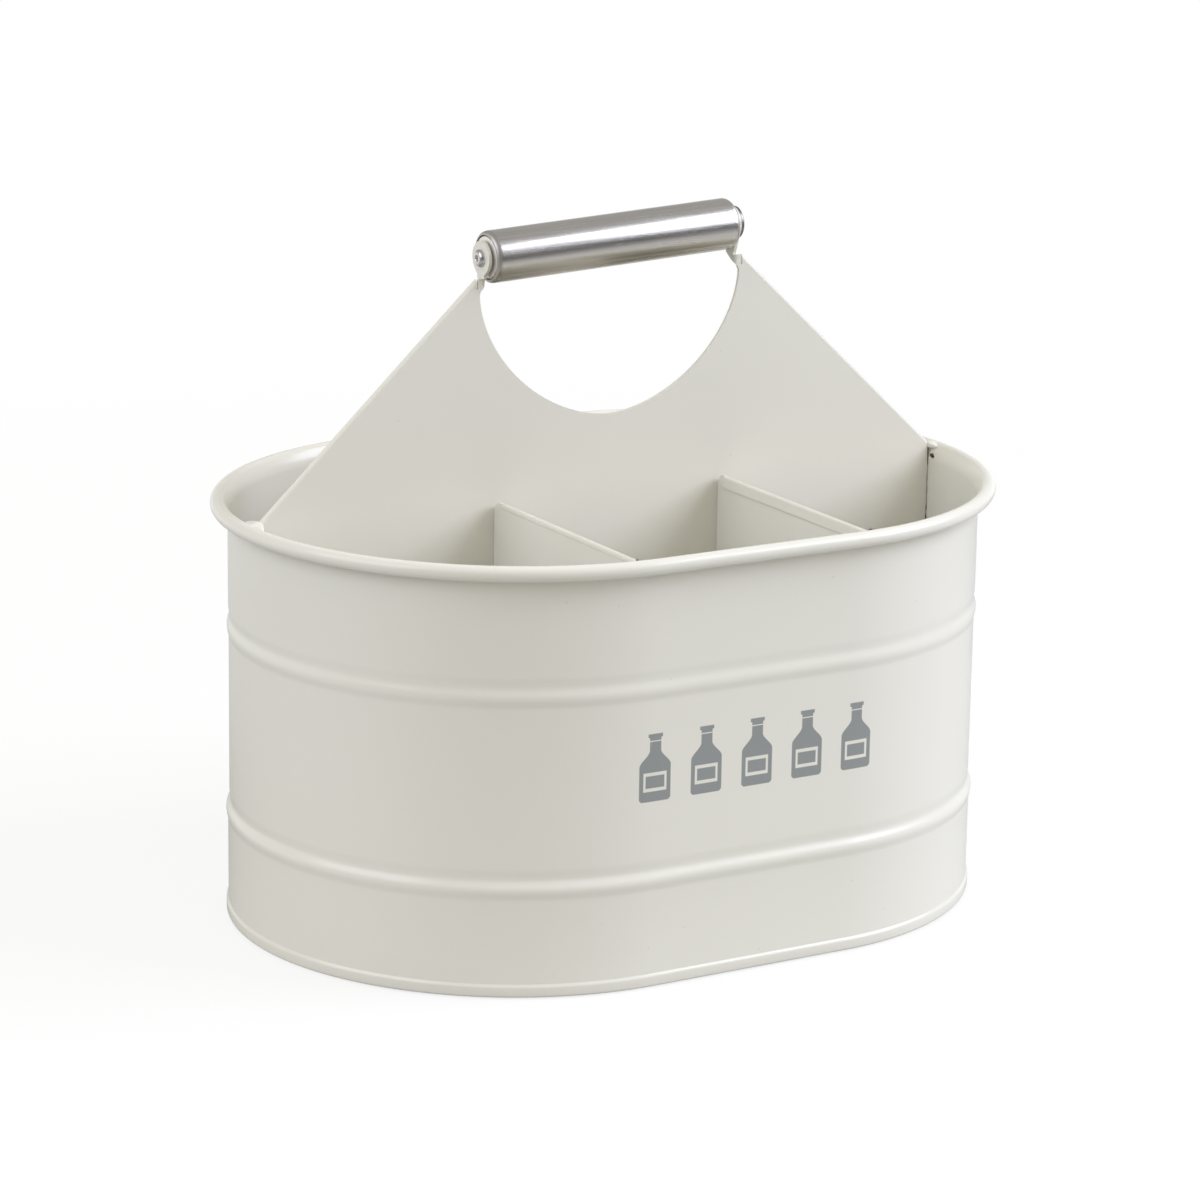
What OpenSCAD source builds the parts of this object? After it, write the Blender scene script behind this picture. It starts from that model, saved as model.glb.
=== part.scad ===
// Carrier for six bottles: an oval sheet-steel tub with dividers and a loose tube grip
// Millimetres, +Z up, +X along the tub, origin on the table below the middle of the tub

/* [Tub] */
// Length of the tub over its wall, without the rolled rim
tub_length = 240; // [225:1:300]
// Width of the tub over its wall, without the rolled rim
tub_width = 173; // [150:1:190]
// Height of the rim's top over the table
tub_height = 131; // [115:1:150]
// Thickness of the wall's sheet
wall_t = 0.6; // [0.4:0.05:0.8]

/* [Rolled rim] */
// Outer diameter of the roll
rim_roll_d = 4.7; // [4:0.1:6]
// Gap between the wall's face and the roll
rim_cove = 0.55; // [0.4:0.05:1]
// Angle through which the roll's edge is turned in
rim_turn = 262; // [200:1:270]

/* [Ribs and bands] */
// Height of the upper rib's groove
upper_rib_z = 94; // [80:1:105]
// Height of the lower rib's groove
lower_rib_z = 36; // [25:1:50]
// Depth of each rib's groove
rib_dip = 0.25; // [0.1:0.05:0.3]
// Height of each rib's bead
rib_bead = 0.55; // [0.1:0.05:0.8]
// Height from a rib's groove up to the plain wall
rib_rise = 3.3; // [2:0.1:5]
// Height from a rib's groove down to the top of its bead
rib_fall = 3.4; // [2:0.1:5]
// How far the middle band lies inside the upper one
middle_band_in = 0.1; // [0:0.05:0.2]
// How far the lower band stands outside the upper one
lower_band_out = 0.3; // [0:0.05:0.5]

/* [Bottom seam] */
// Height of the bottom hem
hem_h = 3.2; // [2.5:0.1:5]
// How far the hem stands out from the lower band
hem_out = 0.6; // [0.5:0.05:0.9]
// Width of the lapped seam at the back
lap_w = 8; // [4:0.5:14]

/* [Centre divider] */
// Thickness of the divider's sheet
plate_t = 1; // [0.8:0.05:1.2]
// Height of the shoulders' lower ends over the rim
corner_rise = 0.6; // [0:0.1:4]
// Width of the folded edge along each shoulder
hem_w = 3.8; // [2:0.1:6]
// Depth of the scooped-out hand gap
scoop_depth = 40.9; // [30:1:55]
// Height of the ear's root beside the hand gap
root_h = 4.6; // [3:0.1:8]

/* [Cross dividers] */
// Distance between the two cross dividers
cross_spacing = 80; // [70:1:90]
// Thickness of their sheet
cross_t = 0.8; // [0.6:0.05:1]
// Depth of their top edge below the rim's top
cross_drop = 1.5; // [0.5:0.1:6]
// Width of their folded top edge
cross_hem_w = 3.7; // [2:0.1:6]
// Radius of the slot's mouth
mouth_r = 3.4; // [1:0.1:5]

/* [Grip] */
// Outer diameter of the tube
grip_d = 15.9; // [14:0.1:20]
// Length of the tube
grip_length = 85.4; // [80:0.1:90]
// Height of the tube's middle over the table
grip_z = 205.9; // [195:0.1:225]
// Thickness of the tube's wall
grip_wall = 0.8; // [0.6:0.05:1]
// Width of the turned-in lip at each end
lip_w = 1.2; // [1:0.1:1.5]
// Free play between each tube end and its ear
grip_play = 0.8; // [0.5:0.1:1.5]

/* [Ears] */
// Diameter of each ear
ear_d = 10.3; // [9:0.1:12]
// Height of the rod's middle over the shoulders' upper ends
ear_rise = 7.9; // [7.9:0.1:12]
// How much higher the hand-bent right ear holds the rod than the left one
ear_skew = 3.8; // [0:0.1:4]
// Width of the neck below each ear
neck_w = 4.2; // [3.5:0.1:5.5]
// Inner radius of the fold between the divider and its ear
fold_r = 0.8; // [0.5:0.1:1.2]
// Width of the slit beside each fold
slit_w = 0.6; // [0.4:0.1:1]
// Depth of the slit
slit_h = 3; // [1:0.1:3.2]

/* [Rod] */
// Diameter of the rod
rod_d = 3.4; // [2.5:0.1:4]
// Diameter of its two heads
head_d = 5.3; // [4.8:0.1:6.5]
// Height of each head
head_h = 1.4; // [0.8:0.1:1.8]
// Diameter of the hollow in the left head
hollow_d = 1.8; // [1:0.1:2.2]
// Diameter of the washer under the right head
washer_d = 10.2; // [7:0.1:11]
// Thickness of that washer
washer_t = 1.1; // [0.5:0.1:1.4]

/* [Hidden] */
$fn = 96;

// Clearances
seat_gap = 0.05;
slot_gap = 0.15;
running_gap = 0.05;
overrun = 1;

// Tub
end_r = tub_width / 2;
straight = tub_length - tub_width;
sheet_mid = -wall_t / 2;
middle_mid = sheet_mid - middle_band_in;
lower_mid = sheet_mid + lower_band_out;
hem_mid = lower_mid + hem_out;
roll_mid_r = (rim_roll_d - wall_t) / 2;
roll_z = tub_height - rim_roll_d / 2;
rim_reach = rim_roll_d / 2 + rim_cove;
shoulder_r = rim_reach + wall_t / 2;
shoulder_z = tub_height - wall_t / 2 - shoulder_r;
wire_r = roll_mid_r - wall_t / 2 - seat_gap;
arc_steps = 5;
roll_steps = 16;
ease_steps = 5;

// The hem folds in under the pan's flange, which fills it with a clearance on both sides
floor_z = hem_h - wall_t / 3;
fold_w = wall_t * 2 + seat_gap * 2;
flange_mid = hem_mid - fold_w / 2;
return_mid = hem_mid - fold_w;
fold_corner_r = wall_t * 0.75;
fold_low_z = wall_t / 2;
hem_step_h = wall_t * 1.5;
return_top_z = floor_z - wall_t * 4 / 3;
flange_low_z = wall_t * 5 / 3;
pan_corner_r = wall_t;
inner_face = middle_band_in + wall_t + rib_dip;

// Dividers
end_x = tub_length / 2 - inner_face - seat_gap;
divider_low_z = floor_z + seat_gap * 2;
corner_z = tub_height + corner_rise;
peak_z = grip_z - ear_rise;
neck_top_z = peak_z + plate_t;
ear_in_x = grip_length / 2 + grip_play;
ear_out_x = ear_in_x + plate_t;
rod_tilt = atan2(ear_skew, ear_in_x + ear_out_x);
bend_x = ear_out_x + fold_r;
root_w = plate_t * 1.1;
peak_x = bend_x + root_w + slit_w;
slope_a = atan2(peak_z - corner_z, end_x - peak_x);
slope_l = norm([end_x - peak_x, peak_z - corner_z]);
cut_drop = plate_t / cos(slope_a);
scoop_top_z = peak_z - root_h;
scoop_half = bend_x + root_w / 2;
scoop_power = 1.8;
scoop_steps = 16;
root_z = scoop_top_z + root_w;
root_tilt = 43;
lap_z = (divider_low_z + tub_height) / 2;
cross_x = cross_spacing / 2;
cross_top_z = tub_height - cross_drop;
cross_end_r = end_r - inner_face - seat_gap;
cross_end = sqrt(pow(cross_end_r, 2) - pow(max(0, cross_x + cross_t / 2 - straight / 2), 2));
slot_half = plate_t / 2 + slot_gap;

// Grip and rod
grip_y = (neck_w - plate_t) / 2;
grip_half = grip_length / 2;
lip_mid_r = lip_w - grip_wall / 2;
lip_hole_r = grip_d / 2 - lip_w;
bore_r = grip_d / 2 - grip_wall;
rod_r = rod_d / 2;
plug_r = bore_r - seat_gap;
plug_l = grip_wall * 3;
nose_r = lip_hole_r - grip_wall / 2;
nose_edge_x = grip_half - grip_wall / 4;
dome_h = grip_wall * 0.6;
hollow_depth = head_h / 2;

// Small helpers for sheet sections
function ease(a, b, u) = a + (b - a) * (1 - cos(180 * u)) / 2;
function run(p, q, n) = [for (i = [0:n]) [ease(p[0], q[0], i / n), p[1] + (q[1] - p[1]) * i / n]];
function arc(c, r, a, b, n) = [for (i = [0:n]) c + r * [cos(a + (b - a) * i / n), sin(a + (b - a) * i / n)]];
function unit(v) = v / norm(v);
function square_to(v) = [-v[1], v[0]];
function flip(list) = [for (i = [len(list) - 1:-1:0]) list[i]];

// Drops points that repeat the one before
function distinct(path) = [for (i = [0:len(path) - 1])
    if (i == 0 || norm(path[i] - path[i - 1]) > wall_t / 1000) path[i]];

// The corner of an offset line beside point i of a path
function beside(path, i, d) = let (
    last = len(path) - 1,
    into = unit(i == 0 ? path[1] - path[0] : path[i] - path[i - 1]),
    out = unit(i == last ? path[last] - path[last - 1] : path[i + 1] - path[i]),
    n = unit(square_to(into) + square_to(out)))
    path[i] + n * d / (n * square_to(into));

// Outline of a bent sheet of thickness t whose middle line is the path
function sheet(path, t) = concat(
    [for (i = [0:len(path) - 1]) beside(path, i, t / 2)],
    flip([for (i = [0:len(path) - 1]) beside(path, i, -t / 2)]));

// The same for a path drawn from the wall's face, moved out to its distance from the tub's middle
function tub_sheet(path) = [for (p = sheet(path, wall_t)) [max(0, end_r + p[0]), p[1]]];

// One rib, from the plain wall above at a to the plain wall below at b, read upwards
function rib(z, a, b) = concat(
    run([b, z - rib_fall - rib_rise], [b + rib_bead, z - rib_fall], ease_steps),
    run([b + rib_bead, z - rib_fall], [a - rib_dip, z], ease_steps),
    run([a - rib_dip, z], [a, z + rib_rise], ease_steps));

// The wall's middle line, from the hem's hidden edge up to the rim's rolled edge
lock_path = concat(
    [[return_mid, return_top_z]],
    arc([return_mid + fold_corner_r, fold_low_z + fold_corner_r], fold_corner_r, 180, 270, arc_steps),
    arc([hem_mid - fold_corner_r, fold_low_z + fold_corner_r], fold_corner_r, 270, 360, arc_steps));
band_path = concat(
    run([hem_mid, hem_h - wall_t / 2], [lower_mid, hem_h + hem_step_h], ease_steps),
    rib(lower_rib_z, middle_mid, lower_mid),
    rib(upper_rib_z, sheet_mid, middle_mid));
rim_path = concat(
    arc([rim_reach, shoulder_z], shoulder_r, 180, 90, arc_steps),
    arc([rim_reach, roll_z], roll_mid_r, 90, 90 - rim_turn, roll_steps));
wall_path = distinct(concat(lock_path, band_path, rim_path));

// The lapped seam's outer sheet, from above the hem to below the rim
lap_path = [for (p = distinct(concat(band_path, [[sheet_mid, tub_height - rim_roll_d - wall_t]])))
    if (p[1] >= hem_h + hem_step_h) p + [wall_t, 0]];

// The pan's middle line, from the flange's edge to the middle of the floor
pan_path = distinct(concat(
    [[flange_mid, flange_low_z]],
    arc([flange_mid - pan_corner_r, floor_z - wall_t / 2 - pan_corner_r], pan_corner_r, 0, 90, arc_steps),
    [[-end_r, floor_z - wall_t / 2]]));

// Half of the scoop's edge, from its upper end down to the middle
scoop_half_path = [for (i = [0:scoop_steps]) let (a = 90 * i / scoop_steps) [
    scoop_half * pow(cos(a), 2 / scoop_power),
    scoop_top_z - scoop_depth * pow(sin(a), 2 / scoop_power)]];
divider_half = concat(
    [[end_x, divider_low_z], [end_x, corner_z - cut_drop], [peak_x, peak_z - cut_drop],
        [peak_x, peak_z], [bend_x, peak_z], [bend_x, root_z]],
    scoop_half_path);

// Sweeps an outline, drawn outwards from the tub's middle, along the tub's oval
module around_tub() {
    for (side = [-1, 1])
        translate([side * straight / 2, 0, 0])
            rotate([0, 0, -90 * side])
                rotate_extrude(angle = 180) children();
    for (turn = [0, 180])
        rotate([0, 0, turn])
            translate([-straight / 2, 0, 0])
                rotate([90, 0, 90])
                    linear_extrude(height = straight) children();
}

// Lays a turned piece along the grip's tilted axis, its +Z towards +X
module on_grip_axis() {
    translate([0, grip_y, grip_z]) rotate([0, 90 - rod_tilt, 0]) children();
}

// Lays a turned piece squarely on the outside of the left (-1) or right (1) ear, its +Z outwards
module on_ear(side) {
    translate([side * ear_out_x, grip_y, grip_z + side * ear_skew / 2]) rotate([0, side * 90, 0]) children();
}

module tub_wall() {
    color("ivory") {
        around_tub() polygon(tub_sheet(wall_path));
        translate([-lap_w / 2, end_r, 0])
            rotate([90, 0, 90])
                linear_extrude(height = lap_w) polygon(sheet(lap_path, wall_t));
    }
}

module rim_wire() {
    color("silver") around_tub() translate([end_r + rim_reach, roll_z]) circle(r = wire_r);
}

module base_pan() {
    color("ivory") around_tub() polygon(tub_sheet(pan_path));
}

// The folded edge along the right shoulder, turned over to the back
module shoulder_hem() {
    intersection() {
        translate([end_x, plate_t / 2, corner_z])
            rotate([0, 180 + slope_a, 0]) {
                translate([-overrun, 0, plate_t])
                    rotate([0, 90, 0]) cylinder(r = plate_t, h = slope_l + overrun * 2);
                translate([-overrun, 0, plate_t])
                    cube([slope_l + overrun * 2, plate_t, hem_w - plate_t]);
            }
        translate([peak_x, -plate_t, 0])
            cube([end_x - peak_x, plate_t * 3, peak_z + overrun]);
    }
}

// The plan of an ear's quarter bend, its ends carried on into the divider's sheet and the ear's neck
module bend_plan() {
    outer_r = fold_r + plate_t;
    intersection() {
        difference() {
            circle(r = outer_r);
            circle(r = fold_r);
        }
        translate([-outer_r, -outer_r]) square(outer_r);
    }
    translate([0, -outer_r]) square([root_w / 2, plate_t]);
    translate([-outer_r, 0]) square([plate_t, neck_w - plate_t - fold_r]);
}

// A right ear: a quarter bend at the divider's edge, a neck and a round eye for the rod at a height
module ear(eye_z) {
    reach = norm([neck_w / 2, eye_z - neck_top_z]);
    touch = atan2(neck_top_z - eye_z, neck_w / 2) + acos(min(1, ear_d / 2 / reach));
    touch_y = cos(touch) * ear_d / 2;
    touch_z = sin(touch) * ear_d / 2;
    difference() {
        union() {
            translate([bend_x, plate_t / 2 + fold_r, scoop_top_z])
                linear_extrude(height = root_h) bend_plan();
            translate([ear_in_x, 0, 0])
                rotate([90, 0, 90])
                    linear_extrude(height = plate_t) {
                        polygon([
                            [plate_t / 2 + fold_r, scoop_top_z],
                            [neck_w - plate_t / 2, scoop_top_z],
                            [neck_w - plate_t / 2, neck_top_z],
                            [grip_y + touch_y, eye_z + touch_z],
                            [grip_y - touch_y, eye_z + touch_z],
                            [-plate_t / 2, neck_top_z],
                            [-plate_t / 2, peak_z],
                            [plate_t / 2 + fold_r, peak_z]]);
                        translate([grip_y, eye_z]) circle(d = ear_d);
                    }
        }
        translate([bend_x, -plate_t / 2, root_z])
            rotate([0, 0, 135])
                rotate([0, -root_tilt, 0])
                    translate([-root_h, -root_h * 2, -root_h * 2])
                        cube([root_h * 4, root_h * 4, root_h * 2]);
    }
}

module centre_divider() {
    color("ivory")
        difference() {
            union() {
                rotate([90, 0, 0])
                    linear_extrude(height = plate_t, center = true)
                        polygon(concat(divider_half,
                            flip([for (p = divider_half) if (p[0] > plate_t / 1000) [-p[0], p[1]]])));
                for (side = [-1, 1])
                    mirror([(1 - side) / 2, 0, 0]) {
                        shoulder_hem();
                        ear(grip_z + side * ear_skew / 2);
                    }
            }
            for (side = [-1, 1]) {
                translate([side * (peak_x - slit_w / 2), 0, peak_z])
                    cube([slit_w, plate_t * 2, slit_h * 2], center = true);
                translate([side * cross_x, 0, divider_low_z])
                    cube([cross_t + slot_gap * 2, plate_t * 2, (lap_z + slot_gap - divider_low_z) * 2],
                        center = true);
            }
            on_grip_axis() cylinder(r = rod_r + running_gap, h = tub_length, center = true);
        }
}

// A cross divider at the right, its folded top edge turned towards the middle
module cross_divider() {
    hem_from = slot_half + mouth_r + cross_t;
    hem_to = cross_end - cross_t;
    hem_z = cross_top_z - cross_t;
    leaf_z = cross_t - cross_hem_w;
    half_outline = concat(
        [[cross_end, divider_low_z], [cross_end, cross_top_z], [hem_to, cross_top_z], [hem_to, hem_z],
            [hem_from, hem_z], [hem_from, cross_top_z]],
        arc([slot_half + mouth_r, cross_top_z - mouth_r], mouth_r, 90, 180, arc_steps * 2),
        [[slot_half, lap_z]]);
    translate([cross_x - cross_t / 2, 0, 0])
        rotate([90, 0, 90])
            linear_extrude(height = cross_t)
                polygon(concat(half_outline, flip([for (p = half_outline) [-p[0], p[1]]])));
    for (side = [-1, 1])
        translate([cross_x - cross_t / 2, side * (hem_from + hem_to) / 2, hem_z])
            rotate([90, 0, 0])
                linear_extrude(height = hem_to - hem_from, center = true)
                    polygon(concat([[0, 0], [0, leaf_z], [-cross_t, leaf_z]],
                        arc([0, 0], cross_t, 180, 0, arc_steps * 2)));
}

module cross_divider_left() {
    color("ivory") mirror([1, 0, 0]) cross_divider();
}

module cross_divider_right() {
    color("ivory") cross_divider();
}

module handle_tube() {
    lip_z = grip_half - lip_w;
    tube_path = distinct(concat(
        arc([lip_hole_r, lip_z], lip_mid_r, 90, 0, arc_steps),
        arc([lip_hole_r, -lip_z], lip_mid_r, 0, -90, arc_steps)));
    color("silver") on_grip_axis() rotate_extrude() polygon(sheet(tube_path, grip_wall));
}

// A plug, drawn upright: a flange behind the tube's lip and a domed nose inside the lip's hole
module end_plug() {
    flange_x = grip_half - lip_w - seat_gap;
    dome = arc([0, 0], 1, 90, 0, arc_steps);
    difference() {
        rotate_extrude()
            polygon(concat(
                [[0, flange_x - plug_l], [plug_r, flange_x - plug_l], [plug_r, flange_x],
                    [nose_r, flange_x]],
                [for (p = flip(dome)) [p[0] * nose_r, nose_edge_x + p[1] * dome_h]]));
        cylinder(r = rod_r + running_gap, h = tub_length, center = true);
    }
}

module end_plug_left() {
    color("gainsboro") on_grip_axis() mirror([0, 0, 1]) end_plug();
}

module end_plug_right() {
    color("gainsboro") on_grip_axis() end_plug();
}

// A domed head of the rod, drawn upright on its seat
module rod_head() {
    dome = arc([0, 0], 1, 0, 90, arc_steps * 2);
    rotate_extrude()
        polygon(concat([[0, 0]], [for (p = dome) [p[0] * head_d / 2, p[1] * head_h]]));
}

// The rod leans between the ears, and its heads are pressed squarely on them
module handle_rod() {
    rod_from = -ear_out_x - hollow_depth / 2;
    rod_to = ear_out_x + washer_t + hollow_depth / 2;
    color("gray")
        difference() {
            union() {
                on_grip_axis() translate([0, 0, rod_from]) cylinder(r = rod_r, h = rod_to - rod_from);
                on_ear(-1) rod_head();
                on_ear(1) translate([0, 0, washer_t]) rod_head();
            }
            on_ear(-1) translate([0, 0, head_h]) cylinder(d = hollow_d, h = hollow_depth * 2, center = true);
        }
}

module rod_washer() {
    color("dimgray")
        difference() {
            on_ear(1) cylinder(d = washer_d, h = washer_t);
            on_grip_axis() cylinder(r = rod_r + running_gap, h = tub_length, center = true);
        }
}

tub_wall();
rim_wire();
base_pan();
centre_divider();
cross_divider_left();
cross_divider_right();
handle_tube();
end_plug_left();
end_plug_right();
handle_rod();
rod_washer();
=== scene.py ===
import math

import bpy
from mathutils import Matrix, Vector, noise


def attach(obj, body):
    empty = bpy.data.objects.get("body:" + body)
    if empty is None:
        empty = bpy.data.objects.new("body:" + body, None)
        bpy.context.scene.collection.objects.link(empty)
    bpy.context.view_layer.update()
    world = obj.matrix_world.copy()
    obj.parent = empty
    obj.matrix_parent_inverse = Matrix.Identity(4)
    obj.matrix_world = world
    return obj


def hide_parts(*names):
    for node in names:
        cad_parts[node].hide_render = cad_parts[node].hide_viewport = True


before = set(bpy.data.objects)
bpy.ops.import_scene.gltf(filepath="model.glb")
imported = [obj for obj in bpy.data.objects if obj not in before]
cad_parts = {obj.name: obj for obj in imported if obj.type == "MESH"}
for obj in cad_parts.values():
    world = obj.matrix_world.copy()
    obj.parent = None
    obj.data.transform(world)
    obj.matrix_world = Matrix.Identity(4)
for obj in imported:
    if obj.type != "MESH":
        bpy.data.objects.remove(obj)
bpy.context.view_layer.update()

MM = 0.001
FULL = 2 * math.pi

# Sizes of the carrier in millimetres and degrees, as its solids have them

# The tub's wall: two round ends joined by a straight stretch
WALL = 0.6
END_R = 86.5
HALF_STRAIGHT = 33.5
# The rolled rim, the cove under it and the flare that leads into it
RIM_TOP = 131.0
ROLL_R = 2.35
RIM_COVE = 0.55
RIM_TURN = 262
FLARE, FLARE_R = 30, 7.0
# The two ribs, each a dip with a bead below it, and how far the bands between them stand in or out
UPPER_RIB, LOWER_RIB = 94.0, 36.0
RIB_DIP, RIB_BEAD, RIB_RISE, RIB_FALL = 0.25, 0.55, 3.3, 3.4
MIDDLE_IN, LOWER_OUT = 0.1, 0.3
# The hem round the foot, and the play with which pieces sit in each other
HEM_H, HEM_OUT, HEM_STEP = 3.2, 0.6, 0.9
SEAT = 0.05
# The middle line of the wall's sheet above the lower rib, below it, and in the hem
UPPER_LINE = -WALL / 2
LOWER_LINE = UPPER_LINE + LOWER_OUT
HEM_LINE = LOWER_LINE + HEM_OUT
# The centre divider: its ends, its peaks, the width of its folded edge, its foot over the pan, its slots
PLATE = 1.0
END_X, CORNER_Z = 119.0, 131.6
PEAK_X, PEAK_Z = 47.0, 198.0
HEM_W = 3.8
FOOT_Z, FOOT_GAP, LAP_Z = 3.1, 0.1, 67.05
# The hand gap and the slanted foot of each ear
BEND_X, SCOOP_TOP, ROOT_Z = 45.3, 193.4, 194.5
ROOT_TILT, ROOT_TURN = 43, 135
SCOOP_HALF, SCOOP_DEPTH, SCOOP_POWER = 45.85, 40.9, 1.8
# The ears: the right eye is higher than the left one by the skew
EAR_X, EAR_D, EAR_Y, EAR_Z, EAR_SKEW, NECK = 43.5, 10.3, 1.6, 205.9, 3.8, 4.2
LEFT_EYE_Z, RIGHT_EYE_Z = EAR_Z - EAR_SKEW / 2, EAR_Z + EAR_SKEW / 2
FOLD_R, EAR_LAP = 0.8, 0.4
SLIT_W, SLIT_H = 0.6, 3.0
# The cross dividers and the slot in their middle
CROSS_X, CROSS_T, CROSS_TOP, CROSS_HEM = 40.0, 0.8, 129.5, 3.7
SLOT_HALF, MOUTH_R = 0.65, 3.4
# The grip, its rod and its washer
TUBE_R, TUBE_WALL, TUBE_HALF, LIP, SPUN_IN = 7.95, 0.8, 42.7, 1.2, 2.0
ROD_R, HEAD_R, HEAD_H, HOLLOW_R = 1.7, 2.65, 1.4, 0.9
WASHER_R, WASHER_T = 5.1, 1.1

GRIP_MIDDLE = Vector((0, EAR_Y, EAR_Z)) * MM
ROD_TILT = math.atan2(EAR_SKEW, 2 * EAR_X + PLATE)

# Corners closer than this are one corner
SAME_PLACE = 0.002 * MM
# The least angle, in degrees, that the rounding of sharp edges takes
SHARP = 35
# Smoothing angles in degrees: large flats stay flat, bent sheet looks round, lumps look round all over
FLAT_SHEET, BENT_SHEET, LUMPY = 6, 40, 70


# Modelling tools

def stop_editing():
    if bpy.context.object and bpy.context.object.mode != "OBJECT":
        bpy.ops.object.mode_set(mode="OBJECT")
    bpy.ops.object.select_all(action="DESELECT")


def take(piece):
    """Makes a piece the only selected and active one."""
    stop_editing()
    piece.select_set(True)
    bpy.context.view_layer.objects.active = piece


def pick_corners(piece, numbers):
    """Selects the corners of the edited piece that have these numbers."""
    bpy.ops.mesh.select_mode(type="VERT")
    bpy.ops.mesh.select_all(action="DESELECT")
    bpy.ops.object.mode_set(mode="OBJECT")
    for corner in piece.data.vertices:
        corner.select = corner.index in numbers
    bpy.ops.object.mode_set(mode="EDIT")


def draw(name, points, closed=False, fill=False):
    """A bent line through points given in millimetres, drawn by extruding a corner again and again.
    It is left in edit mode with all of it selected."""
    points = [Vector(p) * MM for p in points]
    stop_editing()
    bpy.ops.mesh.primitive_plane_add(size=MM)
    piece = bpy.context.object
    piece.name = piece.data.name = name
    bpy.ops.object.mode_set(mode="EDIT")
    bpy.ops.mesh.select_all(action="SELECT")
    bpy.ops.mesh.merge(type="CENTER")
    bpy.ops.transform.translate(value=points[0])
    for a, b in zip(points, points[1:]):
        bpy.ops.mesh.extrude_vertices_move(TRANSFORM_OT_translate={"value": b - a})
    if closed:
        pick_corners(piece, (0, len(points) - 1))
        bpy.ops.mesh.edge_face_add()
    bpy.ops.mesh.select_all(action="SELECT")
    if fill:
        bpy.ops.mesh.edge_face_add()
    return piece


def push(x=0, y=0, z=0):
    """Extrudes the selection by a distance in millimetres."""
    bpy.ops.mesh.extrude_region_move(TRANSFORM_OT_translate={"value": (x * MM, y * MM, z * MM)})


def spin(centre, axis, angle, steps):
    """Turns the selection about an axis by the right-hand rule, which is the operator's other way round."""
    bpy.ops.mesh.spin(steps=steps, angle=-angle, center=centre, axis=axis)


def close_up(piece):
    """Welds doubled corners and turns all faces outwards."""
    if piece.mode != "EDIT":
        take(piece)
        bpy.ops.object.mode_set(mode="EDIT")
    bpy.ops.mesh.select_all(action="SELECT")
    bpy.ops.mesh.remove_doubles(threshold=SAME_PLACE)
    bpy.ops.mesh.normals_make_consistent(inside=False)
    bpy.ops.object.mode_set(mode="OBJECT")
    return piece


def soften(piece, width, steps=2, clamp=True):
    """Rounds the sharp edges a little, as paint and tumbling leave them."""
    take(piece)
    bevel = piece.modifiers.new("Rounding", "BEVEL")
    bevel.width, bevel.segments = width * MM, steps
    bevel.limit_method, bevel.angle_limit = "ANGLE", math.radians(SHARP)
    bevel.use_clamp_overlap = clamp
    bpy.ops.object.modifier_apply(modifier=bevel.name)


def split_large_faces(piece):
    """Splits faces into triangles, so that a large flat face keeps its own flat shading."""
    take(piece)
    bpy.ops.object.mode_set(mode="EDIT")
    bpy.ops.mesh.select_all(action="SELECT")
    bpy.ops.mesh.quads_convert_to_tris(quad_method="BEAUTY", ngon_method="CLIP")
    bpy.ops.mesh.remove_doubles(threshold=SAME_PLACE)
    bpy.ops.object.mode_set(mode="OBJECT")


def smooth(piece, angle=32):
    """Shades a piece smoothly, apart from edges that are sharper than an angle in degrees."""
    take(piece)
    bpy.ops.object.shade_smooth_by_angle(angle=math.radians(angle))
    return piece


def flip(piece):
    """Moves a piece to its mirror place on the other side of the carrier's middle."""
    piece.data.transform(Matrix.Scale(-1, 4, (1, 0, 0)))
    return close_up(piece)


def mirrored(piece, name):
    """A mirror copy of a piece on the other side."""
    take(piece)
    bpy.ops.object.duplicate()
    twin = bpy.context.object
    twin.name = twin.data.name = name
    return flip(twin)


def unite(piece, *others):
    """Melts folds that overlap a sheet into it, so that no seam shows."""
    for other in others:
        take(piece)
        melt = piece.modifiers.new("Melt", "BOOLEAN")
        melt.operation, melt.solver, melt.object = "UNION", "EXACT", other
        bpy.ops.object.modifier_apply(modifier=melt.name)
        bpy.data.objects.remove(other)
    return piece


def gathered(pieces):
    """Several closed pieces that don't touch each other, as one object."""
    take(pieces[0])
    for piece in pieces[1:]:
        piece.select_set(True)
    bpy.ops.object.join()
    return bpy.context.object


def arc(centre, r, start, end, steps):
    """Points of an arc in a plane, with its angles in degrees."""
    turns = [math.radians(start + (end - start) * i / steps) for i in range(steps + 1)]
    return [(centre[0] + r * math.cos(a), centre[1] + r * math.sin(a)) for a in turns]


def ease_run(p, q, steps=8):
    """Points from p to q whose first number eases in and out, while the second runs evenly."""
    return [(p[0] + (q[0] - p[0]) * (1 - math.cos(math.pi * i / steps)) / 2, p[1] + (q[1] - p[1]) * i / steps)
            for i in range(steps + 1)]


def distinct(path, least=1e-3):
    """The path without points that repeat the one before them."""
    kept = [path[0]]
    for p in path[1:]:
        if math.dist(p, kept[-1]) > least:
            kept.append(p)
    return kept


def sheet_outline(path, thickness):
    """The outline of a bent sheet whose middle line is the path."""
    sides = [[], []]
    for i, p in enumerate(path):
        before = path[i - 1] if i else path[0]
        after = path[i + 1] if i + 1 < len(path) else path[-1]
        here = Vector(p)
        ways = [w.normalized() for w in (here - Vector(before), Vector(after) - here) if w.length > 0]
        normals = [Vector((-w.y, w.x)) for w in ways]
        middle = sum(normals, Vector((0, 0))).normalized()
        reach = thickness / 2 / middle.dot(normals[0])
        sides[0].append(here + middle * reach)
        sides[1].append(here - middle * reach)
    return [tuple(p) for p in sides[0] + sides[1][::-1]]


def share(value):
    """A number kept between 0 and 1."""
    return min(1, max(0, value))


# The tub

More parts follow.
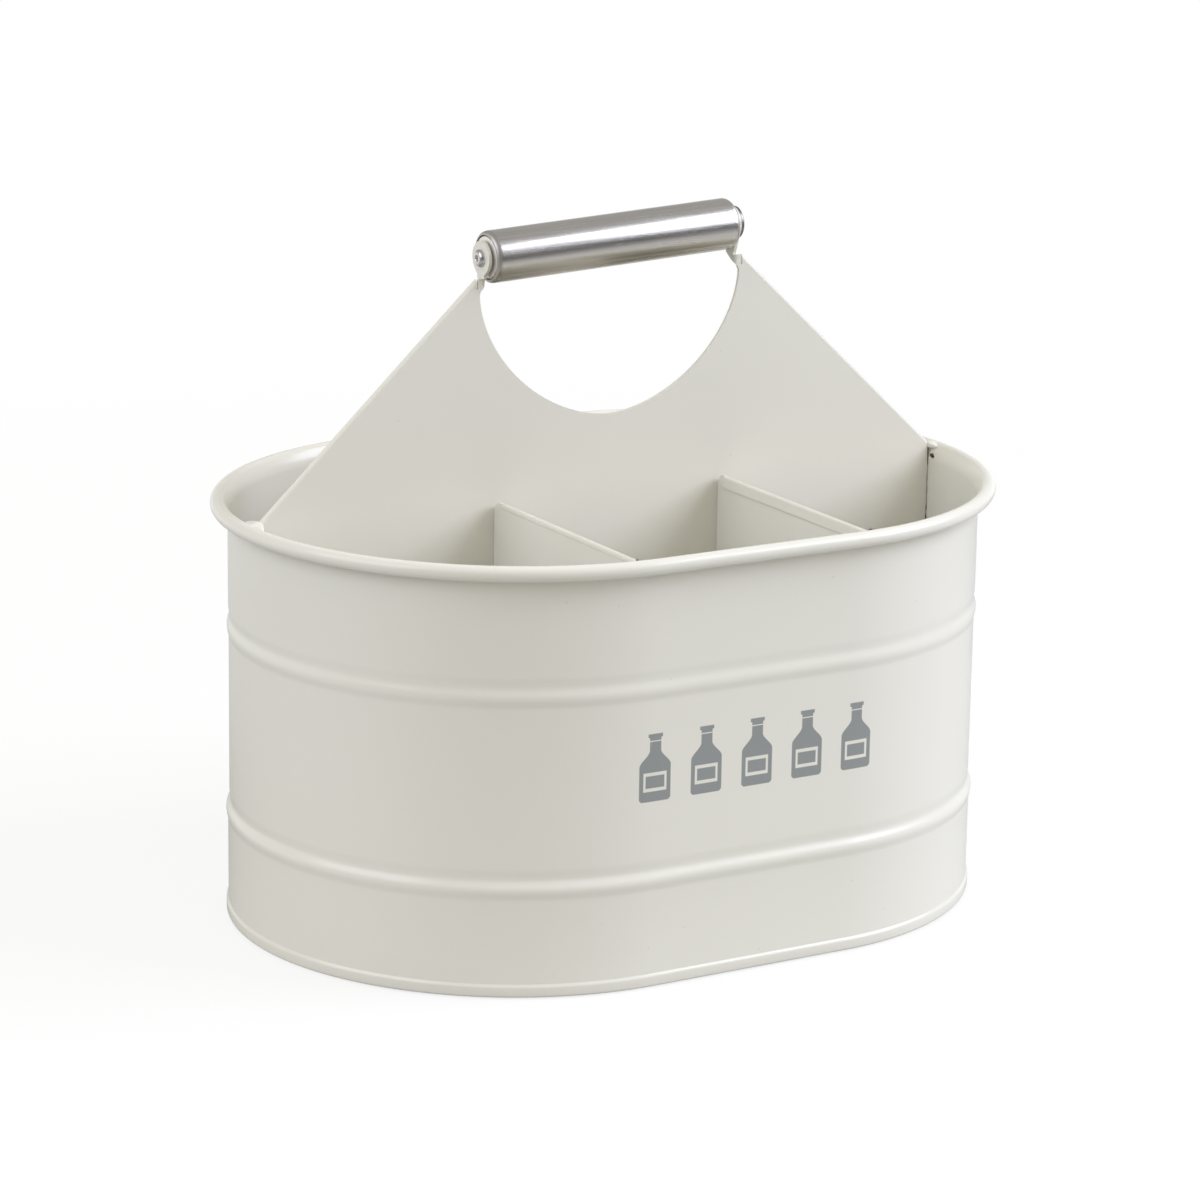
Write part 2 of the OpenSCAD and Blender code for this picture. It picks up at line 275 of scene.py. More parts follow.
def rib(z, above, below):
    """A rib's bead and dip, between the bands above and below it."""
    return (ease_run((below, z - RIB_FALL - RIB_RISE), (below + RIB_BEAD, z - RIB_FALL))
            + ease_run((below + RIB_BEAD, z - RIB_FALL), (above - RIB_DIP, z))
            + ease_run((above - RIB_DIP, z), (above, z + RIB_RISE)))


def wall_bands():
    """The wall's middle line as (distance outside the wall's face, height), from the hem past both ribs."""
    return (ease_run((HEM_LINE, HEM_H - WALL / 2), (LOWER_LINE, HEM_H + HEM_STEP))
            + rib(LOWER_RIB, UPPER_LINE - MIDDLE_IN, LOWER_LINE)
            + rib(UPPER_RIB, UPPER_LINE, UPPER_LINE - MIDDLE_IN))


def wall_line():
    """The same line in full: the hem's fold under the pan, the bands, the flare and the rolled rim."""
    back = HEM_LINE - WALL * 2 - SEAT * 2
    bend = WALL * 0.75
    fold = ([(back, FOOT_Z - FOOT_GAP - WALL * 4 / 3)]
            + arc((back + bend, WALL / 2 + bend), bend, 180, 270, steps=6)
            + arc((HEM_LINE - bend, WALL / 2 + bend), bend, 270, 360, steps=6))
    reach, roll_z, roll = ROLL_R + RIM_COVE, RIM_TOP - ROLL_R, ROLL_R - WALL / 2
    flare, lead = math.radians(FLARE), math.radians(180 - FLARE)
    meet = (reach + roll * math.cos(lead), roll_z + roll * math.sin(lead))
    swing = FLARE_R * (1 - math.cos(flare))
    start = meet[1] - (meet[0] - UPPER_LINE - swing) / math.tan(flare) - FLARE_R * math.sin(flare)
    rim = (arc((UPPER_LINE + FLARE_R, start), FLARE_R, 180, 180 - FLARE, steps=6)
           + arc((reach, roll_z), roll, 180 - FLARE, 90 - RIM_TURN, steps=36))
    return distinct(fold + wall_bands() + rim)


def sweep_round_tub(name, outline, straight_steps=8, round_steps=72):
    """Carries a section, given as (distance outside the wall's face, height), once round the oval."""
    piece = draw(name, [(HALF_STRAIGHT, -END_R - r, z) for r, z in outline], closed=True)
    for side in (1, -1):
        spin((side * HALF_STRAIGHT * MM, 0, 0), (0, 0, 1), math.pi, round_steps)
        for _ in range(straight_steps):
            push(x=-side * 2 * HALF_STRAIGHT / straight_steps)
    return close_up(piece)


def settle(piece, depth=0.1):
    """Presses the slow unevenness of rolled sheet into a wall, the same on both its faces.
    The stiff rim and hem stay true."""
    below_rim, rim_fade, hem_fade = 4, 20, 12
    waves_round_end, wave_up, wave_along, seed = 1.9, 55, 70, 5
    for v in piece.data.vertices:
        x, y, z = v.co / MM
        out = Vector((max(abs(x) - HALF_STRAIGHT, 0) * (1 if x > 0 else -1), y, 0)).normalized()
        calm = share((RIM_TOP - below_rim - z) / rim_fade) * share(z / hem_fade)
        spot = Vector((out.x * waves_round_end, out.y * waves_round_end, z / wave_up))
        v.co += out * noise.noise(spot + Vector((x / wave_along, 0, seed))) * depth * calm * MM


def make_tub():
    tub = sweep_round_tub("enamelled_tub", sheet_outline(wall_line(), WALL))
    settle(tub)
    return smooth(tub, BENT_SHEET)


def make_back_seam():
    """The lapped end of the wall's sheet, standing one thickness proud up the back."""
    half_width = 4
    inner = [p for p in distinct(wall_bands()) if p[1] >= HEM_H + HEM_STEP]
    inner.append((UPPER_LINE, RIM_TOP - ROLL_R * 2 - WALL))
    outer = [(r + WALL / 2 + WALL, z) for r, z in inner]
    seam = draw("back_lap_seam", [(-half_width, END_R + r, z) for r, z in outer + inner[::-1]],
                closed=True, fill=True)
    push(x=2 * half_width)
    close_up(seam)
    soften(seam, width=0.25, steps=3)
    return smooth(seam, BENT_SHEET)


# The dividers

def slope():
    """Unit vectors along the right shoulder, from its lower end upwards, and square to it."""
    along = Vector((PEAK_X - END_X, 0, PEAK_Z - CORNER_Z)).normalized()
    return along, Vector((along.z, 0, -along.x))


def scoop_line(steps=32):
    """The right half of the hand gap's edge, from its top corner to its lowest point."""
    points = []
    for i in range(steps):
        a = math.pi / 2 * i / steps
        points.append((SCOOP_HALF * math.cos(a) ** (2 / SCOOP_POWER),
                       SCOOP_TOP - SCOOP_DEPTH * math.sin(a) ** (2 / SCOOP_POWER)))
    return points + [(0.0, SCOOP_TOP - SCOOP_DEPTH)]


def make_divider_sheet():
    """The flat sheet, whose sloping edges end inside the folds that cover them."""
    covered, play = 1.2, 0.15
    drop = covered / math.cos(math.atan2(PEAK_Z - CORNER_Z, END_X - PEAK_X))
    slot_in, slot_out = CROSS_X - CROSS_T / 2 - play, CROSS_X + CROSS_T / 2 + play
    half = ([(slot_in, FOOT_Z), (slot_in, LAP_Z + play), (slot_out, LAP_Z + play), (slot_out, FOOT_Z),
             (END_X, FOOT_Z), (END_X, CORNER_Z - drop), (PEAK_X, PEAK_Z - drop), (PEAK_X, PEAK_Z - SLIT_H),
             (PEAK_X - SLIT_W, PEAK_Z - SLIT_H), (PEAK_X - SLIT_W, PEAK_Z), (BEND_X, PEAK_Z),
             (BEND_X, ROOT_Z)] + scoop_line())
    outline = half + [(-x, z) for x, z in half[-2::-1]]
    sheet = draw("divider_sheet", [(x, -PLATE / 2, z) for x, z in outline], closed=True, fill=True)
    push(y=PLATE)
    return close_up(sheet)


def make_shoulder():
    """The folded edge along the right shoulder, turned over to the back. Its section, as (distance behind
    the sheet's middle, distance above the crest), starts and ends inside the sheet and crosses the sheet's
    front face on a slant, so that no faces of the two lie in each other."""
    root, sunk = -1.9, 0.1
    slant_in, slant_out, slant_top = 0.02, 0.003, -1.35
    section = ([(slant_in - PLATE / 2, root), (-PLATE / 2 - slant_out, slant_top)]
               + arc((PLATE / 2, -PLATE), PLATE, 180, 0, steps=12)
               + [(PLATE * 1.5, -HEM_W), (PLATE / 2 - sunk, -HEM_W), (PLATE / 2 - sunk, root)])
    along, out = slope()
    spare, past, steps = 4, 0.02, 6
    foot = Vector((END_X, 0, CORNER_Z)) - along * spare
    fold = draw("shoulder_fold", [foot + Vector((0, y, 0)) + out * d for y, d in section],
                closed=True, fill=True)
    length = math.hypot(END_X - PEAK_X, PEAK_Z - CORNER_Z) + 2 * spare
    for _ in range(steps):
        push(*(along * length / steps))
    for x, inside in ((PEAK_X - past, False), (END_X + past, True)):
        bpy.ops.mesh.select_all(action="SELECT")
        bpy.ops.mesh.bisect(plane_co=(x * MM, 0, CORNER_Z * MM), plane_no=(1, 0, 0), use_fill=True,
                            clear_inner=not inside, clear_outer=inside)
    return close_up(fold)


def make_ear(eye_z):
    """A right ear: the divider's edge bent square to the back, its neck and the round eye at a height.
    Its foot is cut off on a slant, as the blank of the sheet was."""
    base = PEAK_Z + PLATE
    reach = math.hypot(NECK / 2, eye_z - base)
    touch = math.degrees(math.atan2(base - eye_z, NECK / 2) + math.acos(EAR_D / 2 / reach))
    outline = ([(PLATE / 2 + FOLD_R, SCOOP_TOP), (NECK - PLATE / 2, SCOOP_TOP), (NECK - PLATE / 2, base)]
               + arc((EAR_Y, eye_z), EAR_D / 2, touch, 180 - touch, steps=44)
               + [(-PLATE / 2, base), (-PLATE / 2, PEAK_Z), (PLATE / 2 + FOLD_R, PEAK_Z)])
    ear = draw("ear", [(EAR_X, y, z) for y, z in outline], closed=True, fill=True)
    push(x=PLATE)
    close_up(ear)
    root_x, front, rear = BEND_X + EAR_LAP, -PLATE / 2, PLATE / 2
    bend = draw("ear_bend", [(root_x, front, SCOOP_TOP), (root_x, front, PEAK_Z),
                             (root_x, rear, PEAK_Z), (root_x, rear, SCOOP_TOP)], closed=True, fill=True)
    push(x=-EAR_LAP)
    spin((BEND_X * MM, (PLATE / 2 + FOLD_R) * MM, 0), (0, 0, -1), math.pi / 2, steps=10)
    push(y=EAR_LAP)
    ear = unite(close_up(bend), ear)
    take(ear)
    bpy.ops.object.mode_set(mode="EDIT")
    bpy.ops.mesh.select_all(action="SELECT")
    lean, turn = math.radians(ROOT_TILT), math.radians(ROOT_TURN)
    upwards = (-math.sin(lean) * math.cos(turn), -math.sin(lean) * math.sin(turn), math.cos(lean))
    bpy.ops.mesh.bisect(plane_co=(BEND_X * MM, -PLATE / 2 * MM, ROOT_Z * MM), plane_no=upwards,
                        use_fill=True, clear_inner=True)
    return close_up(ear)


def make_cross_sheet():
    """The right cross divider with its folded top edges, and the slot that the centre divider drops into."""
    inner_r = END_R - MIDDLE_IN - WALL - RIB_DIP - SEAT
    end = math.sqrt(inner_r ** 2 - (CROSS_X + CROSS_T / 2 - HALF_STRAIGHT) ** 2)
    near, far = SLOT_HALF + MOUTH_R + CROSS_T, end - CROSS_T
    notch, lap = 0.4, 0.3
    low = CROSS_TOP - CROSS_T - notch
    deep = low - lap
    half = ([(SLOT_HALF, LAP_Z)]
            + arc((SLOT_HALF + MOUTH_R, CROSS_TOP - MOUTH_R), MOUTH_R, 180, 90, steps=12)
            + [(near, CROSS_TOP), (near, low), (far, low), (far, CROSS_TOP), (end, CROSS_TOP), (end, FOOT_Z)])
    outline = half + [(-y, z) for y, z in half[::-1]]
    face_x = CROSS_X - CROSS_T / 2
    sheet = draw("cross_sheet", [(face_x, y, z) for y, z in outline], closed=True, fill=True)
    push(x=CROSS_T)
    close_up(sheet)
    section = ([(CROSS_T, deep)] + arc((0, CROSS_TOP - CROSS_T), CROSS_T, 0, 180, steps=12)
               + [(-CROSS_T, CROSS_TOP - CROSS_HEM), (0, CROSS_TOP - CROSS_HEM), (0, deep)])
    folds = []
    for a, b in ((near, far), (-far, -near)):
        fold = draw("cross_fold", [(face_x + x, a, z) for x, z in section], closed=True, fill=True)
        push(y=b - a)
        folds.append(close_up(fold))
    unite(sheet, *folds)
    soften(sheet, width=0.12, clamp=False)
    split_large_faces(sheet)
    return smooth(sheet, FLAT_SHEET)


# The joints between the wall and the centre divider

def make_weld(name, low, top, depth, front, back, ends_at, seed):
    """A painted-over weld that fills the corner between the right wall, its rim and the divider's end.
    It spans two heights, stands so deep into the tub, and fades out so many degrees to both sides,
    where its tip runs into the wall or the rim at a distance outside the wall's face and a height."""
    inner = END_R - WALL
    lap_foot, fade_power = 128.6, 1.6
    lump_waves, lump_size, lump_rise = 0.7, 0.25, 0.6
    # Points as (distance outside the wall's inner face, height): the bead in the corner, its lap on the rim
    bead = [(0.5, low), (-depth * 0.5, low + depth * 0.6), (-depth * 0.85, (low + top) / 2),
            (-depth, top - 1.5), (-depth * 0.85, top - 0.5), (-depth * 0.35, top), (0.6, top)]
    lap = [(1.7, RIM_TOP + 0.2), (3.0, RIM_TOP - 0.1), (2.4, RIM_TOP - 0.9), (1.4, max(low + 0.2, lap_foot))]
    turn = math.radians(front)
    weld = draw(name, [(HALF_STRAIGHT + (inner + d) * math.cos(turn), -(inner + d) * math.sin(turn), z)
                       for d, z in bead + lap], closed=True, fill=True)
    spin((HALF_STRAIGHT * MM, 0, 0), (0, 0, 1), math.radians(front + back), steps=24)
    close_up(weld)
    for v in weld.data.vertices:
        x, y, z = v.co / MM
        r, a = math.hypot(x - HALF_STRAIGHT, y), math.degrees(math.atan2(y, x - HALF_STRAIGHT))
        fade = share(a / back if a > 0 else -a / front) ** fade_power
        lump = noise.noise(Vector((x, y, z)) * lump_waves + Vector((seed, 0, 0))) * lump_size * (1 - fade)
        r += (inner + ends_at[0] - r) * fade - abs(lump)
        z += (min(z, ends_at[1]) - z) * fade + lump * lump_rise
        turn = math.radians(a)
        v.co = Vector((HALF_STRAIGHT + r * math.cos(turn), r * math.sin(turn), z)) * MM
    return smooth(weld, LUMPY)


def make_crack():
    """The split in the paint down the corner beside the right weld, showing dark metal. It is narrow
    between two heights, where the paint has healed over it."""
    top, step, steps = 129.6, 0.6, 40
    healed_from, healed_to = 109, 126
    full_width, healed_by, wider_above, ragged, least = 0.34, 0.2, 0.06, 0.3, 0.1
    width_waves, wander, wander_waves = 0.55, 0.12, 1.3
    middle = (END_X + 0.2, -0.6)
    section = [(-0.3, -0.45), (-0.25, -0.62), (0.2, -1.0), (0.3, -0.6)]
    crack = draw("paint_split", [(END_X + x, y, top) for x, y in section], closed=True, fill=True)
    for _ in range(steps):
        push(z=-step)
    close_up(crack)
    for v in crack.data.vertices:
        x, y, z = v.co / MM
        healed = share((z - healed_from) / 2) * share((healed_to - z) / 3)
        width = (full_width - healed * healed_by + max(0, z - healed_to) * wider_above
                 + ragged * noise.noise(Vector((0, 0, z * width_waves))))
        narrowed = 1 - max(least, width)
        aside = noise.noise(Vector((x, 3, z * wander_waves))) * wander
        v.co.x += (middle[0] - x) * narrowed * MM
        v.co.y += (middle[1] - y) * narrowed * MM + aside * MM
    return smooth(crack, angle=60)


def make_chip():
    """The spot beside that weld where the paint has come off: a flat ragged lens, half in the wall."""
    radius, height, sunk = 0.9, 127.2, 0.1
    flat, squat, ragged, waves = 0.3, 0.75, 0.9, 1.4
    inner = END_R - WALL - sunk
    turn = math.radians(-1.9)
    stop_editing()
    bpy.ops.mesh.primitive_ico_sphere_add(subdivisions=4, radius=radius * MM)
    chip = bpy.context.object
    chip.name = chip.data.name = "bare_spot"
    for v in chip.data.vertices:
        x, y, z = v.co / MM
        edge = 1 + ragged * noise.noise(Vector((0, y, z)) * waves)
        v.co = Vector((HALF_STRAIGHT + inner * math.cos(turn) + x * flat, inner * math.sin(turn) + y * edge,
                       height + z * edge * squat)) * MM
    return smooth(chip, angle=60)


# The grip

def lathe(name, profile, steps=96, axis_z=EAR_Z, closed=True):
    """Turns a profile, given as (radius, distance along X), round a level axis above the divider."""
    piece = draw(name, [(x, EAR_Y, axis_z + r) for r, x in profile], closed=closed)
    spin((0, EAR_Y * MM, axis_z * MM), (1, 0, 0), FULL, steps)
    return close_up(piece)


def tip(piece):
    """Leans a piece of the grip as the rod leans, its right end up."""
    middle = Matrix.Translation(GRIP_MIDDLE)
    piece.data.transform(middle @ Matrix.Rotation(-ROD_TILT, 4, "Y") @ middle.inverted())
    return piece


def make_tube():
    """The tube, its ends spun in over a longer stretch than they are turned in."""
    lip_r = LIP - TUBE_WALL / 2
    hole, spun = TUBE_R - LIP, SPUN_IN / LIP
    end = [(r, TUBE_HALF - TUBE_WALL / 2 + (x - lip_r) * spun)
           for r, x in arc((hole, 0), lip_r, 90, 0, steps=12)]
    path = distinct(end + [(r, -x) for r, x in end[::-1]])
    tube = lathe("brushed_grip", sheet_outline(path, TUBE_WALL), steps=128)
    return smooth(tube, BENT_SHEET)


def make_plug():
    """The right plug: a sleeve in the tube, a seat behind the turned-in lip, and a dome in its opening."""
    hole = TUBE_R - LIP
    nose = hole - TUBE_WALL / 2
    flange = TUBE_HALF - LIP - SEAT
    deep = flange - TUBE_WALL * 3
    bore, body = ROD_R + SEAT, TUBE_R - TUBE_WALL - SEAT
    edge, rise = TUBE_HALF - TUBE_WALL / 4, TUBE_WALL * 0.6
    dome = [(nose * math.cos(math.radians(a)), edge + rise * math.sin(math.radians(a)))
            for a in range(0, 76, 5) if nose * math.cos(math.radians(a)) > bore]
    top = edge + rise * math.sin(math.acos(bore / nose))
    plug = lathe("domed_plug_right", [(bore, deep), (body, deep), (body, flange), (nose, flange)] + dome
                 + [(bore, top)])
    return smooth(plug)


def make_rod():
    """The leaning rod with its two heads, which are pressed square on the ears."""
    seats = EAR_X + PLATE, EAR_X + PLATE + WASHER_T
    sunk, lip, lip_drop, dip = 0.2, 0.15, 0.12, 0.1
    crown = HEAD_R * 0.42
    dome = [(HEAD_R, 0), (HEAD_R, HEAD_H - crown)] + [
        (HEAD_R - crown * (1 - math.cos(math.radians(a))), HEAD_H - crown * (1 - math.sin(math.radians(a))))
        for a in range(10, 91, 10)]
    hollow = dome + [(HOLLOW_R + lip, HEAD_H), (HOLLOW_R, HEAD_H - lip_drop), (HOLLOW_R * 0.8, HEAD_H / 2),
                     (0, HEAD_H / 2 - dip)]
    rod = lathe("riveted_rod", [(0, -seats[0] - sunk), (ROD_R, -seats[0] - sunk), (ROD_R, seats[1] + sunk),
                                (0, seats[1] + sunk)], steps=64, closed=False)
    left = lathe("left_head", [(0, -seats[0])] + [(r, -seats[0] - x) for r, x in hollow],
                 steps=64, axis_z=LEFT_EYE_Z, closed=False)
    right = lathe("right_head", [(0, seats[1])] + [(r, seats[1] + x) for r, x in dome + [(0, HEAD_H)]],
                  steps=64, axis_z=RIGHT_EYE_Z, closed=False)
    unite(tip(rod), left, right)
    return smooth(rod, angle=38)


def make_washer():
    """The washer under the right head, its inner edge broken less than its outer one."""
    x = EAR_X + PLATE
    far = x + WASHER_T
    bore, broken, rounded = ROD_R + SEAT, 0.15, 0.2
    washer = lathe("dark_washer", [(bore, x), (WASHER_R - broken, x), (WASHER_R, x + broken),
                                   (WASHER_R, far - rounded), (WASHER_R - rounded, far), (bore, far)],
                   steps=72, axis_z=RIGHT_EYE_Z)
    return smooth(washer)


# Paints and metals

class Wire:
    """A socket's value, with the arithmetic that a shader needs."""

    def __init__(self, paint, socket):
        self.paint, self.socket = paint, socket

    def out(self, name):
        """Another output of the same node."""
        return Wire(self.paint, self.socket.node.outputs[name])

    def maths(self, operation, *values):
        return self.paint.add("ShaderNodeMath", {"operation": operation}, dict(enumerate(values)))

    def __add__(self, other):
        return self.maths("ADD", self, other)

    def __radd__(self, other):
        return self.maths("ADD", other, self)

    def __sub__(self, other):
        return self.maths("SUBTRACT", self, other)

    def __rsub__(self, other):
        return self.maths("SUBTRACT", other, self)

    def __mul__(self, other):
        return self.maths("MULTIPLY", self, other)

    def __rmul__(self, other):
        return self.maths("MULTIPLY", other, self)

    def __truediv__(self, other):
        return self.maths("DIVIDE", self, other)

    def __abs__(self):
        return self.maths("ABSOLUTE", self)

    def floor(self):
        return self.maths("FLOOR", self)

    def low(self, other):
        return self.maths("MINIMUM", self, other)

    def high(self, other):
        return self.maths("MAXIMUM", self, other)

    def above(self, edge, soft):
        """1 above an edge and 0 below it, with a ramp of the given width between them."""
        return ((self - edge) / soft + 0.5).high(0.0).low(1.0)


class Paint:
    """The nodes of one material or of the world."""

    def __init__(self, tree):
        self.tree = tree
        tree.nodes.clear()

    def add(self, kind, settings=None, values=None, out=0):
        """Adds a node with its settings, then the values or links of its sockets."""
        node = self.tree.nodes.new(kind)
        for key, value in (settings or {}).items():
            setattr(node, key, value)
        for key, value in (values or {}).items():
            if isinstance(value, Wire):
                self.tree.links.new(value.socket, node.inputs[key])
            else:
                node.inputs[key].default_value = value
        return Wire(self, node.outputs[out] if node.outputs else node.inputs[0])

    def place(self):
        """The spot on the piece."""
        return self.add("ShaderNodeTexCoord", out="Object")

    def clouds(self, place, scale, detail, roughness=0.5):
        """Soft noise with so many waves to the metre."""
        return self.add("ShaderNodeTexNoise",
                        values={"Vector": place, "Scale": scale, "Detail": detail, "Roughness": roughness})

    def axes(self, vector, first):
        """A vector's three numbers, of which the named one comes first and out() gives the others."""
        return self.add("ShaderNodeSeparateXYZ", values={"Vector": vector}, out=first)

    def mix(self, factor, a, b):
        """A mix of two colours."""
        return self.add("ShaderNodeMix", {"data_type": "RGBA"}, {0: factor, 6: a, 7: b}, out=2)

    def bump(self, height, strength):
        return self.add("ShaderNodeBump", values={"Height": height, "Distance": 1.0, "Strength": strength})

    def surface(self, **values):
        shader = self.add("ShaderNodeBsdfPrincipled", values=values)
        self.add("ShaderNodeOutputMaterial", values={"Surface": shader})


def tint(r, g, b):
    return (r, g, b, 1.0)


def grey(level):
    return tint(level, level, level)


def new_material(name):
    material = bpy.data.materials.new(name)
    material.use_nodes = True
    return material, Paint(material.node_tree)


def bottles(x, z):
    """A row of five plain bottle shapes between two heights of the front, as a mask. Heights on a bottle
    are shares of its height, and widths are shares of half its width."""
    middle, count, pitch = 1.0 * MM, 5, 17.6 * MM
    low, high, half = 57.0 * MM, 77.6 * MM, 5.3 * MM
    shoulder_from, shoulder_rise, neck_in = 0.52, 0.24, 0.64
    lip_from, lip_out, foot_h, foot_in = 0.945, 0.1, 0.05, 0.16
    label_w, stripe_w, crisp, side_crisp = 0.74, 0.6, 0.008, 0.03
    v = (z - low) / (high - low)
    cell = (x - middle) / pitch + 0.5
    u = abs(cell - cell.floor() - 0.5) * pitch / half
    shoulder = ((v - shoulder_from) / shoulder_rise).high(0.0).low(1.0)
    ease = shoulder * shoulder * (3.0 - shoulder * 2.0)
    width = 1.0 - ease * neck_in + v.above(lip_from, 0.006) * lip_out
    foot = ((foot_h - v) / foot_h).high(0.0)
    shape = (width - foot * foot * foot_in - u).above(0.0, side_crisp)
    band = shape * v.above(0.0, crisp) * (1.0 - v.above(1.0, crisp))
    label = (v.above(0.15, crisp) - v.above(0.43, crisp)) * (label_w - u).above(0.0, side_crisp)
    stripe = v.above(0.2, crisp) - v.above(0.38, crisp)
    cap = v.above(0.885, 0.006) - v.above(0.9, 0.006)
    row = (count / 2 - abs((x - middle) / pitch)).above(0.0, 0.01)
    return band * (1.0 - label + label * stripe * (stripe_w - u).above(0.0, side_crisp)) * (1.0 - cap) * row


def enamel(name, printed=False):
    """Glossy baked enamel: cream in slow clouds, with slight orange peel and a few specks of grit."""
    cream, ink_grey, grit_brown = (0.79, 0.775, 0.708), tint(0.285, 0.30, 0.295), tint(0.50, 0.47, 0.40)
    pale = tint(*(c * 1.006 for c in cream))
    deep = tint(*(c * f for c, f in zip(cream, (0.994, 0.992, 0.986))))
    material, p = new_material(name)
    place = p.place()
    slow = p.clouds(place, scale=14.0, detail=1.0, roughness=0.4)
    cloud = p.clouds(place, scale=130.0, detail=2.0)
    peel = p.clouds(place, scale=550.0, detail=1.0)
    grit = p.add("ShaderNodeTexVoronoi", {"feature": "F1"}, {"Vector": place, "Scale": 95.0})
    speck = (0.035 - grit).above(0.0, 0.02)
    colour = p.mix((slow * 1.6 - 0.3).high(0.0).low(1.0), deep, pale)
    colour = p.mix(speck * 0.25, colour, grit_brown)
    rough = 0.2 + slow * 0.06 + (cloud - 0.5) * 0.03
    height = peel * 0.0000015 + slow * 0.00008 + cloud * 0.000003
    if printed:
        axes = p.axes(place, "X")
        front = (0.0 - axes.out("Y")).above(0.0, 0.001)
        worn = (peel + cloud).above(0.62, 0.08)
        ink = bottles(axes.out("X"), axes.out("Z")) * front * (0.90 + worn * 0.10)
        colour = p.mix(ink, colour, ink_grey)
        rough = rough + ink * 0.12
    ripple = p.bump(height, strength=0.5)
    p.surface(**{"Base Color": colour, "Roughness": rough, "Normal": ripple, "IOR": 1.5})
    return material


def steel(name, colour, rough, streak, lengthways=True, grime=0.0, ends=None):
    """Worked steel: streaks along the grip for a brushed tube, faint turning marks for the rest.
    Past the given distance from the middle it is duller, as where a tube's edge is spun in."""
    dirt, spun_dull = tint(0.10, 0.085, 0.07), tint(0.42, 0.385, 0.34)
    fine = (9.0, 1500.0, 1500.0) if lengthways else (1600.0, 260.0, 260.0)
    broad = tuple(s / 3.2 for s in fine)
    material, p = new_material(name)
    place = p.place()
    fine_lines = p.add("ShaderNodeVectorMath", {"operation": "MULTIPLY"}, {0: place, 1: fine})
    hair = p.clouds(fine_lines, scale=1.0, detail=3.0, roughness=0.6)
    broad_lines = p.add("ShaderNodeVectorMath", {"operation": "MULTIPLY"}, {0: place, 1: broad})
    band = p.clouds(broad_lines, scale=1.0, detail=2.0)
    smear = p.clouds(place, scale=90.0, detail=4.0)
    shade = hair * 0.6 + band * 0.4
    dark = tint(*(c * (1 - streak) for c in colour))
    light = tint(*(min(1, c * (1 + streak)) for c in colour))
    tone = p.mix(((shade - 0.3) * 2.5).high(0.0).low(1.0), dark, light)
    if grime:
        tone = p.mix(smear.above(0.56, 0.2) * grime, tone, dirt)
    rough = rough + (shade - 0.5) * 0.12 + (smear - 0.5) * 0.06
    if ends:
        spun = abs(p.axes(place, "X")).above(ends * MM, 0.4 * MM)
        tone = p.mix(spun * 0.5, tone, spun_dull)
        rough = rough + spun * 0.2
    marks = p.bump(hair * 0.000012 + band * 0.000006, strength=0.35)
    p.surface(**{"Base Color": tone, "Metallic": 1.0, "Roughness": rough, "Normal": marks})
    return material


def bare_metal(name):
    """Dirty metal where paint has split or come off, paler where the split has healed."""
    healed_from, healed_to = 110.5 * MM, 124.5 * MM
    dark, rusty, healed_paint = tint(0.035, 0.03, 0.025), tint(0.16, 0.125, 0.085), tint(0.34, 0.29, 0.21)
    material, p = new_material(name)
    place = p.place()
    grain = p.clouds(place, scale=900.0, detail=3.0)
    height = p.axes(place, "Z")
    healed = height.above(healed_from, 2 * MM) * (1.0 - height.above(healed_to, 3 * MM))
    tone = p.mix(grain.above(0.52, 0.3), dark, rusty)
    tone = p.mix(healed * 0.75, tone, healed_paint)
    pits = p.bump(grain * 0.00003, strength=0.6)
    p.surface(**{"Base Color": tone, "Metallic": 0.2, "Roughness": 0.5 + grain * 0.3, "Normal": pits})
    return material


# The whole part

def dress(piece, body, slot, material, *stands_for):
    """Gives a piece its finish, the body that it moves with and the nodes that it stands for."""
    piece.data.materials.clear()
    piece.data.materials.append(material)
    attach(piece, body)
    if stands_for:
        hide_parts(*stands_for)


cream, printed_cream = enamel("cream_enamel"), enamel("cream_enamel_printed", printed=True)
brushed = steel("brushed_tube_steel", (0.71, 0.68, 0.635), rough=0.26, streak=0.10, ends=TUBE_HALF - LIP)
polished = steel("polished_plug_steel", (0.95, 0.91, 0.87), rough=0.5, streak=0.03,
                 lengthways=False, grime=0.06)
riveted = steel("rivet_steel", (0.66, 0.65, 0.63), rough=0.3, streak=0.06, lengthways=False, grime=0.3)
dull = steel("washer_steel", (0.30, 0.29, 0.27), rough=0.38, streak=0.10, lengthways=False, grime=0.5)
drawn = steel("wire_steel", (0.50, 0.50, 0.49), rough=0.4, streak=0.08)
bare = bare_metal("bare_spots")

dress(make_tub(), "caddy", "cream_enamel", printed_cream, "tub_wall")
dress(make_back_seam(), "caddy", "cream_enamel", cream)

divider_sheet = make_divider_sheet()
folds = [flip(make_shoulder()), flip(make_ear(LEFT_EYE_Z)), make_shoulder(), make_ear(RIGHT_EYE_Z)]
divider = unite(divider_sheet, gathered(folds))
split_large_faces(divider)
dress(smooth(divider, FLAT_SHEET), "caddy", "cream_enamel", cream, "centre_divider")

left_weld = flip(make_weld("painted_weld_left", low=123, top=CORNER_Z, depth=1.2, front=2.5, back=10,
                           ends_at=(0.3, 127.6), seed=3))
right_weld = make_weld("painted_weld_right", low=129.0, top=131.2, depth=0.6, front=2.6, back=3,
                       ends_at=(1.9, 129.8), seed=8)
dress(smooth(left_weld, LUMPY), "caddy", "cream_enamel", cream)
dress(right_weld, "caddy", "cream_enamel", cream)
dress(make_crack(), "caddy", "washer_steel", bare)
dress(make_chip(), "caddy", "washer_steel", bare)

